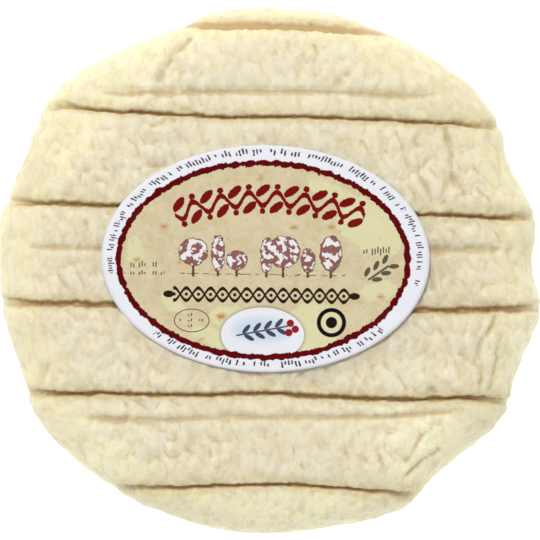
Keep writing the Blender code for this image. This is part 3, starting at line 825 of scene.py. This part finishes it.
RING = {"middle": (-0.44, -0.3), "half_sizes": (29.25, 19.6), "half_width": 0.60}
MOTTLES = [(0.50, 0.30, (204, 184, 138)), (0.52, 0.72, (233, 222, 190))]
THREAD_TURNS = (42, -48)
THREAD_PERIOD = 0.62
GREEN_FIELDS = [
    ((21.0, 6.8), (7.5, 5.0), -35), ((22.8, -6.2), (3.6, 2.0), 10), ((9.6, -14.0), (6.0, 5.0), 20),
    ((-6.5, -12.2), (5.0, 2.4), 0), ((-10.5, -16.2), (4.5, 1.8), -20), ((-26.5, 1.2), (1.6, 3.0), 0),
    ((-18.5, -9.4), (3.0, 1.4), -30), ((12.5, 14.0), (4.6, 1.6), -20),
]
STAINS = [
    (-1.2, 16.2, 0.7), (-26.0, -0.6, 0.8), (-20.6, 6.2, 0.9), (5.6, 6.4, 0.9), (13.2, 6.6, 0.9),
    (-8.8, -11.8, 1.1), (-12.7, -16.4, 0.6), (23.4, -7.4, 0.8), (0.8, 3.8, 0.7), (-17.4, -1.0, 0.6),
]
GARLAND_MIDDLE = (0.7, -42.5)
GARLAND_RADIUS = 54.6
GARLAND_REACH = 19.6
GARLAND_PERIOD = 5.6
GARLAND_SWING = 1.35
GARLAND_LEAVES = [((-1.4, 1.7), (1.75, 0.82), 38), ((1.4, -1.7), (1.75, 0.82), 38)]
GARLAND_BERRIES = [(1.5, 2.45), (-1.5, -2.45)]
GROUND = -3.7
# Each tree's place across, its crown's half width and half height, and its trunk's height
TREES = [
    (-14.6, 2.9, 2.7, 2.2), (-9.6, 1.3, 3.7, 1.0), (-5.8, 2.1, 1.9, 1.4), (0.2, 1.2, 3.5, 0.9),
    (3.6, 3.3, 3.2, 1.9), (8.6, 1.4, 2.4, 1.0), (13.2, 2.2, 3.6, 1.3),
]
BRAID = {"at": -7.4, "reach": (-18.6, 17.2), "period": 4.9, "swing": 1.25, "half_width": 0.375}
SPRIG_STEM = ((21.0, -3.9), (24.8, -1.2))
SPRIG_LEAVES = [
    ((20.6, -2.4), 65), ((22.4, -1.1), 65), ((24.2, 0.2), 65), ((22.6, -3.9), 5), ((24.4, -2.6), 5),
    ((26.0, -1.2), 5),
]
STAMP_AT = (-14.75, -12.7)
STAMP_ROWS = [(-11.6, 1.3), (-12.7, 2.5), (-13.8, 1.3)]
BADGE = ((-0.4, -15.4), (8.4, 5.5))
BADGE_BERRIES = [(5.2, -13.0), (4.9, -14.9), (6.2, -14.2)]
BRANCH_STEM = ((-5.6, -15.6), (4.6, -13.6))
BRANCH_STEPS = (-4.2, -2.0, 0.2, 2.4)
DISC_AT = (13.5, -12.75)
# Rows of strokes: how high, from where to where, half their height, and how strong
NOTES = [
    (-1.5, (-27.6, -21.4), 0.55, 0.8), (-3.2, (-28.0, -20.4), 0.38, 0.8), (1.9, (19.3, 25.4), 0.7, 0.85),
]
RIM_ROW = ((0.0, 0.1), (31.35, 21.55))
RIM_ROW_RADIUS = 27.5
RIM_ROW_REACHES = [(-0.15, 2.0), (-2.0, -1.9), (-1.5, -0.45)]  # in quarter turns
BLACK_INK = (42, 30, 19)


class Print(Nodes):
    """A flat print, painted one field of colour over another."""

    def __init__(self, name, ground):
        super().__init__(name)
        self.place = self.add("ShaderNodeAttribute", {}, attribute_name="print_place").outputs["Vector"]
        self.across, self.up = self.apart(self.place)
        self.colour = ground(self)

    def apart(self, place):
        return self.add("ShaderNodeSeparateXYZ", {"Vector": place}).outputs[:2]

    def joined(self, across, up):
        return self.add("ShaderNodeCombineXYZ", {"X": across, "Y": up}).outputs[0]

    def length(self, place):
        return self.add("ShaderNodeVectorMath", {0: place}, operation="LENGTH").outputs["Value"]

    def turned(self, place, degrees):
        inputs = {"Vector": place, "Angle": math.radians(degrees)}
        return self.add("ShaderNodeVectorRotate", inputs, rotation_type="Z_AXIS").outputs[0]

    def ellipse(self, middle, half_sizes, turn=0.0, place=None):
        away = self.vector("SUBTRACT", self.place if place is None else place, (*middle, 0.0))
        if turn:
            away = self.turned(away, -turn)
        share = self.vector("DIVIDE", away, (*half_sizes, 1.0))
        steepness = self.length(self.vector("DIVIDE", share, (*half_sizes, 1.0)))
        radius = self.length(share)
        inward = self.times(radius, self.less(radius, 1.0))
        return self.calc("DIVIDE", inward, steepness)

    def box(self, middle, half_sizes):
        away = self.vector("ABSOLUTE", self.vector("SUBTRACT", self.place, (*middle, 0.0)))
        beyond = self.apart(self.vector("SUBTRACT", away, (*half_sizes, 0.0)))
        return self.calc("MAXIMUM", *beyond)

    def stroke(self, start, end, half_width):
        run = (end[0] - start[0], end[1] - start[1], 0.0)
        away = self.vector("SUBTRACT", self.place, (*start, 0.0))
        product = self.add("ShaderNodeVectorMath", {0: away, 1: run}, operation="DOT_PRODUCT")
        along = self.calc("DIVIDE", product.outputs["Value"], run[0] ** 2 + run[1] ** 2)
        share = self.calc("MINIMUM", self.calc("MAXIMUM", along, 0.0), 1.0)
        nearest = self.add("ShaderNodeVectorMath", {0: run, "Scale": share}, operation="SCALE").outputs[0]
        return self.less(self.length(self.vector("SUBTRACT", away, nearest)), half_width)

    def line(self, distance, half_width):
        return self.less(self.calc("ABSOLUTE", distance), half_width)

    def together(self, distances):
        return reduce(lambda nearest, other: self.calc("MINIMUM", nearest, other), distances)

    def overlap(self, *distances):
        return reduce(lambda furthest, other: self.calc("MAXIMUM", furthest, other), distances)

    def torn(self, distance, depth, scale, detail=2.0):
        ragged = self.less(self.noise(self.place, scale, detail, 0.6), 0.5)
        return self.plus(distance, self.times(ragged, 2.0 * depth))

    def repeated(self, along, period):
        return self.less(self.calc("WRAP", along, period, 0.0), period / 2)

    def random(self, number, seed):
        inputs = {"W": self.plus(number, seed)}
        return self.add("ShaderNodeTexWhiteNoise", inputs, noise_dimensions="1D").outputs["Value"]

    def paint(self, distance, colour, share=1.0, soft=0.07):
        cover = self.between(distance, -soft, soft, share, 0.0)
        self.colour = self.mix(cover, self.colour, colour)

    def dashes(self, along, off, reach, half_height, spacing=0.56):
        """Fine strokes of uneven height side by side, with gaps here and there."""
        number = self.calc("FLOOR", self.calc("DIVIDE", along, spacing))
        height = self.between(self.random(number, 0.5), 0.0, 1.0, 0.5 * half_height, half_height)
        shifted = self.between(self.random(number, 3.5), 0.0, 1.0, -0.4 * half_height, 0.4 * half_height)
        upright = self.line(self.plus(off, shifted), height)
        aside = self.line(self.repeated(along, spacing), 0.26 * spacing)
        gap = self.less(self.random(number, 7.5), 0.74)
        ends = self.line(self.less(along, sum(reach) / 2), (reach[1] - reach[0]) / 2)
        return self.overlap(upright, aside, self.times(gap, 9.0), ends)


def paper_white(n):
    fibres = n.noise(n.place, 3.0, 4.0, 0.6)
    return n.mix(fibres, tone(236, 236, 243), tone(243, 243, 250))


def print_parchment(n, inside):
    n.paint(inside, tone(222, 208, 172))
    clouds = n.less(0.52, n.noise(n.place, 0.22, 3.0, 0.6))
    n.paint(n.overlap(inside, n.times(clouds, 6.0)), tone(214, 198, 158), 0.85, 0.6)
    for low, high, shade in MOTTLES:
        mottle = n.times(n.between(n.noise(n.place, 0.75, 4.0, 0.7), low, high), -1.0)
        n.paint(n.overlap(inside, n.plus(mottle, 0.5)), tone(*shade), 0.55, 0.5)
    fields = n.together([n.ellipse(*field) for field in GREEN_FIELDS])
    n.paint(n.overlap(inside, n.torn(fields, 1.6, 0.5, 3.0)), tone(228, 225, 178), 0.9, 0.45)
    pale = n.torn(n.ellipse((-9.0, 11.5), (7.0, 2.6), 20), 1.8, 0.5)
    n.paint(n.overlap(inside, pale), tone(229, 216, 187), 0.6, 0.5)
    for turn in THREAD_TURNS:
        across = n.apart(n.turned(n.place, turn))[0]
        thread = n.calc("SINE", n.times(across, math.tau / THREAD_PERIOD))
        n.paint(n.overlap(inside, n.torn(thread, 1.6, 2.5)), tone(198, 180, 138), 0.08, 0.8)
    stains = n.together([n.ellipse((u, v), (size, size * 0.7)) for u, v, size in STAINS])
    n.paint(n.torn(stains, 0.7, 1.4), tone(201, 158, 98), 0.6, 0.5)
    n.paint(n.plus(n.torn(stains, 0.5, 2.2), 0.45), tone(172, 118, 56), 0.7, 0.25)
    freckles = n.less(0.68, n.noise(n.place, 1.1, 2.0, 0.6))
    n.paint(n.overlap(inside, n.times(freckles, 6.0)), tone(190, 148, 92), 0.55, 0.2)


def print_garland(n):
    away = n.vector("SUBTRACT", n.place, (*GARLAND_MIDDLE, 0.0))
    across, up = n.apart(away)
    along = n.times(n.calc("ARCTAN2", across, up), GARLAND_RADIUS)
    out = n.less(n.length(away), GARLAND_RADIUS)
    swing = n.calc("SINE", n.times(along, math.tau / GARLAND_PERIOD))
    off = n.less(out, n.times(swing, GARLAND_SWING))
    stem = n.less(n.times(n.calc("ABSOLUTE", off), 0.7), 0.42)
    cell = n.joined(n.repeated(n.plus(along, GARLAND_PERIOD / 2), GARLAND_PERIOD), out)
    shapes = [stem] + [n.ellipse(*leaf, place=cell) for leaf in GARLAND_LEAVES]
    shapes += [n.ellipse(berry, (0.62, 0.62), place=cell) for berry in GARLAND_BERRIES]
    shape = n.overlap(n.together(shapes), n.line(along, GARLAND_REACH))
    n.paint(n.torn(shape, 0.22, 1.6), tone(122, 12, 12))


def print_trees(n):
    crowns, trunks = [], []
    for across, half_width, half_height, trunk in TREES:
        middle = (across, GROUND + trunk + half_height)
        crowns.append(n.ellipse(middle, (half_width, half_height)))
        trunks.append(n.box((across, GROUND + trunk / 2 + 0.3), (0.26, trunk / 2 + 0.4)))
    n.paint(n.torn(n.together(trunks), 0.25, 1.5), tone(115, 62, 50))
    crown = n.torn(n.together(crowns), 0.55, 0.9)
    n.paint(crown, tone(240, 235, 236))
    leaves = n.times(n.less(0.49, n.noise(n.place, 0.75, 2.0, 0.5)), 9.0)
    n.paint(n.overlap(crown, leaves), tone(138, 80, 72), 0.95, 0.12)
    n.paint(n.line(crown, 0.10), tone(92, 74, 66), 0.85)
    level = n.less(n.noise(n.place, 0.45, 1.0), 0.6)
    ground = n.line(n.plus(n.less(n.up, GROUND + 0.35), level), 0.10)
    broken = n.times(n.less(0.5, n.noise(n.place, 0.8, 2.0)), 4.0)
    reach = n.line(n.plus(n.across, 0.9), 17.0)
    n.paint(n.overlap(ground, broken, reach), tone(100, 70, 60), 0.9)


def print_braid(n):
    start, end = BRAID["reach"]
    off = n.less(n.up, BRAID["at"])
    wave = n.calc("SINE", n.times(n.across, math.tau / BRAID["period"]))
    wave = n.times(wave, BRAID["swing"])
    strands = [n.line(n.calc(way, off, wave), BRAID["half_width"]) for way in ("ADD", "SUBTRACT")]
    beads = n.joined(n.repeated(n.across, BRAID["period"] / 2), off)
    shapes = strands + [n.ellipse((0.0, 0.0), (0.34, 0.34), place=beads)]
    reach = n.line(n.less(n.across, (start + end) / 2), (end - start) / 2)
    shape = n.overlap(n.together(shapes), reach)
    n.paint(n.torn(shape, 0.10, 2.0), tone(*BLACK_INK))
    ends = [n.ellipse((at, BRAID["at"]), (1.1, 0.7)) for at in (start - 0.9, end + 0.9)]
    n.paint(n.together(ends), tone(*BLACK_INK))


def print_stamp(n, grey):
    n.paint(n.line(n.ellipse(STAMP_AT, (3.5, 2.3)), 0.10), tone(60, 50, 40), 0.9)
    for height, half_length in STAMP_ROWS:
        reach = (STAMP_AT[0] - half_length, STAMP_AT[0] + half_length)
        n.paint(n.dashes(n.across, n.less(n.up, height), reach, 0.3), grey, 0.8)


def print_badge(n, inside):
    oval = n.ellipse(*BADGE)
    n.paint(n.overlap(inside, n.less(oval, 0.35)), tone(120, 115, 105), 0.5, 0.35)
    n.paint(n.overlap(inside, oval), tone(237, 238, 243))
    n.paint(n.overlap(oval, n.ellipse((-0.6, -14.4), (6.0, 2.6))), tone(202, 218, 233), 0.8, 1.2)
    branch = [n.stroke(*BRANCH_STEM, 0.16)]
    for across in BRANCH_STEPS:
        height = -15.3 + 0.2 * (across + 4.2)
        branch.append(n.ellipse((across + 0.5, height + 1.0), (1.15, 0.45), 50))
        branch.append(n.ellipse((across + 1.1, height - 0.7), (1.15, 0.45), -28))
    n.paint(n.overlap(oval, n.together(branch)), tone(44, 48, 72), 0.95)
    berries = [n.ellipse(middle, (0.75, 0.75)) for middle in BADGE_BERRIES]
    n.paint(n.overlap(oval, n.together(berries)), tone(150, 28, 36))


def print_marks(n, inside):
    grey = tone(52, 44, 38)
    print_stamp(n, grey)
    print_badge(n, inside)
    disc = n.ellipse(DISC_AT, (3.0, 3.0))
    rings = [n.line(n.plus(disc, 0.45), 0.42), n.ellipse(DISC_AT, (1.15, 1.15))]
    n.paint(n.overlap(inside, n.together(rings)), tone(16, 13, 11))
    for height, reach, half_height, share in NOTES:
        n.paint(n.dashes(n.across, n.less(n.up, height), reach, half_height), grey, share)
    sprig = [n.stroke(*SPRIG_STEM, 0.22)]
    sprig += [n.ellipse(middle, (1.05, 0.48), turn) for middle, turn in SPRIG_LEAVES]
    n.paint(n.together(sprig), tone(76, 80, 56), 0.95)


def print_rim(n):
    turned = n.calc("ARCTAN2", n.calc("DIVIDE", n.up, 21.6), n.calc("DIVIDE", n.across, 31.4))
    along = n.times(turned, RIM_ROW_RADIUS)
    off = n.ellipse(*RIM_ROW)
    quarter = RIM_ROW_RADIUS * math.pi / 2
    for start, end in RIM_ROW_REACHES:
        row = n.dashes(along, off, (start * quarter, end * quarter), 0.60, 0.62)
        n.paint(n.torn(row, 0.2, 2.0), tone(66, 60, 62))


def label_print():
    n = Print("label_print", paper_white)
    ring = n.ellipse(RING["middle"], RING["half_sizes"])
    inside = n.torn(ring, 0.2, 0.8)
    print_parchment(n, inside)
    print_marks(n, inside)
    n.paint(n.torn(n.line(ring, RING["half_width"]), 0.85, 0.7, 4.0), tone(95, 0, 5))
    print_rim(n)
    print_garland(n)
    print_trees(n)
    print_braid(n)
    fibres = n.noise(n.place, 3.0, 4.0, 0.6)
    n.surface({
        "Base Color": n.colour, "Normal": n.bump(fibres, 0.01 * MM),
        "Roughness": n.between(fibres, 0.3, 0.7, 0.36, 0.50), "Specular IOR Level": 0.04,
    })
    return n.material


def floor_material():
    n = Nodes("floor")
    shade = n.mix(n.noise(n.place_in_mm(), 0.01, 2.0), (0.94, 0.94, 0.94, 1.0), (0.96, 0.96, 0.96, 1.0))
    n.surface({
        "Base Color": shade, "Roughness": 0.8, "Specular IOR Level": 0.1,
        "Emission Color": (1.0, 1.0, 1.0, 1.0), "Emission Strength": 0.55,
    })
    return n.material


# Scene

def add_object(name, data):
    thing = bpy.data.objects.new(name, data)
    bpy.context.scene.collection.objects.link(thing)
    return thing


def add_piece(mesh, *materials):
    for material in materials:
        mesh.materials.append(material)
    return add_object(mesh.name, mesh)


def add_camera():
    camera = add_object("camera", bpy.data.cameras.new("camera"))
    camera.data.lens = LENS
    camera.data.sensor_width = SENSOR
    camera.data.clip_end = 20.0
    camera.location = (SHIFT[0], SHIFT[1], WIDEST_AT + FRAME_WIDTH * LENS / SENSOR)
    bpy.context.scene.camera = camera


def add_light():
    light = add_object("key", bpy.data.lights.new("key", "AREA"))
    light.data.shape = "DISK"
    light.data.size = LIGHT_SIZE
    light.data.energy = LIGHT_POWER
    light.location = LIGHT_AT
    light.rotation_euler = (-Vector(LIGHT_AT)).to_track_quat("-Z", "Y").to_euler()


def add_studio():
    world = bpy.data.worlds.new("studio")
    world.use_nodes = True
    background = world.node_tree.nodes["Background"]
    background.inputs["Color"].default_value = (1.0, 1.0, 1.0, 1.0)
    background.inputs["Strength"].default_value = SKY_STRENGTH
    bpy.context.scene.world = world
    bpy.context.scene.view_settings.view_transform = "Standard"
    corners = [(FLOOR_REACH * u, FLOOR_REACH * v, FLOOR_AT) for u, v in ((-1, -1), (1, -1), (1, 1), (-1, 1))]
    add_piece(new_mesh("floor", np.array(corners), [(0, 1, 2, 3)]), floor_material())


label_low, label_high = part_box("label")
SHIFT = np.array([(label_low[0] + label_high[0]) / 2 - LABEL_AT[0],
                  (label_low[1] + label_high[1]) / 2 - LABEL_AT[1], 0.0])

add_camera()
add_light()
add_studio()

cheese = add_piece(make_cheese(), cheese_material())
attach(cheese, "root")
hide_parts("cheese")

label = add_piece(make_label(), label_print(), plain_paper())
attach(label, "root")
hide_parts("label")
